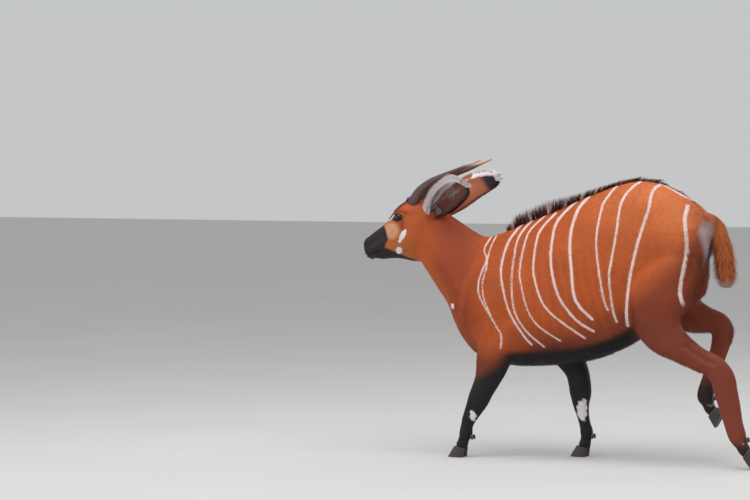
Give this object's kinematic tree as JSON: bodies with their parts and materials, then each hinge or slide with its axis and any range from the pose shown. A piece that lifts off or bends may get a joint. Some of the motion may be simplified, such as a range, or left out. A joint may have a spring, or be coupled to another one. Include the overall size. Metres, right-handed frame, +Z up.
{
  "type": "bongo antelope model",
  "caption": "Life-size still model of a striped forest antelope walking, with laid-back twisted horns, big cupped ears, an upright back mane, a tufted tail and cloven hooves",
  "frame": {"origin": "middle of the bounding box, on the floor under the animal", "axes": "-X is the way the animal faces, +X its tail, -Y its left side, +Z up"},
  "size_m": [1.9572, 0.5044, 1.3877],
  "materials": {
    "trunk_coat": "short glossy orange chestnut fur with thin pinkish white upright stripes and a dark mane",
    "neck_coat": "short reddish chestnut fur",
    "face_coat": "short chestnut fur with a dark muzzle and white marks",
    "foreleg_coat": "chestnut above, black below with pale patches",
    "hindleg_coat": "short reddish brown fur, darker below",
    "ear_skin": "chestnut back, pale hairy inside and rim",
    "tail_coat": "orange hair with a fringed end",
    "horn": "smooth grey brown horn with a pale tip",
    "hoof": "dark horn, satin",
    "eye": "wet dark brown eye"
  },
  "bodies": {
    "root": {"claw_left_foreleg_left": "hoof", "claw_left_foreleg_right": "hoof", "claw_left_hindleg_left": "hoof", "claw_left_hindleg_right": "hoof", "claw_right_foreleg_left": "hoof", "claw_right_foreleg_right": "hoof", "claw_right_hindleg_left": "hoof", "claw_right_hindleg_right": "hoof", "dewclaw_left_foreleg_left": "hoof", "dewclaw_left_foreleg_right": "hoof", "dewclaw_left_hindleg_left": "hoof", "dewclaw_left_hindleg_right": "hoof", "dewclaw_right_foreleg_left": "hoof", "dewclaw_right_foreleg_right": "hoof", "dewclaw_right_hindleg_left": "hoof", "dewclaw_right_hindleg_right": "hoof", "ear_left": "ear_skin", "ear_right": "ear_skin", "eye_left": "eye", "eye_right": "eye", "foreleg_left": "foreleg_coat", "foreleg_right": "foreleg_coat", "head": "face_coat", "hindleg_left": "hindleg_coat", "hindleg_right": "hindleg_coat", "horn_left": "horn", "horn_right": "horn", "neck": "neck_coat", "tail": "tail_coat", "trunk": "trunk_coat"}
  },
  "joints": []
}
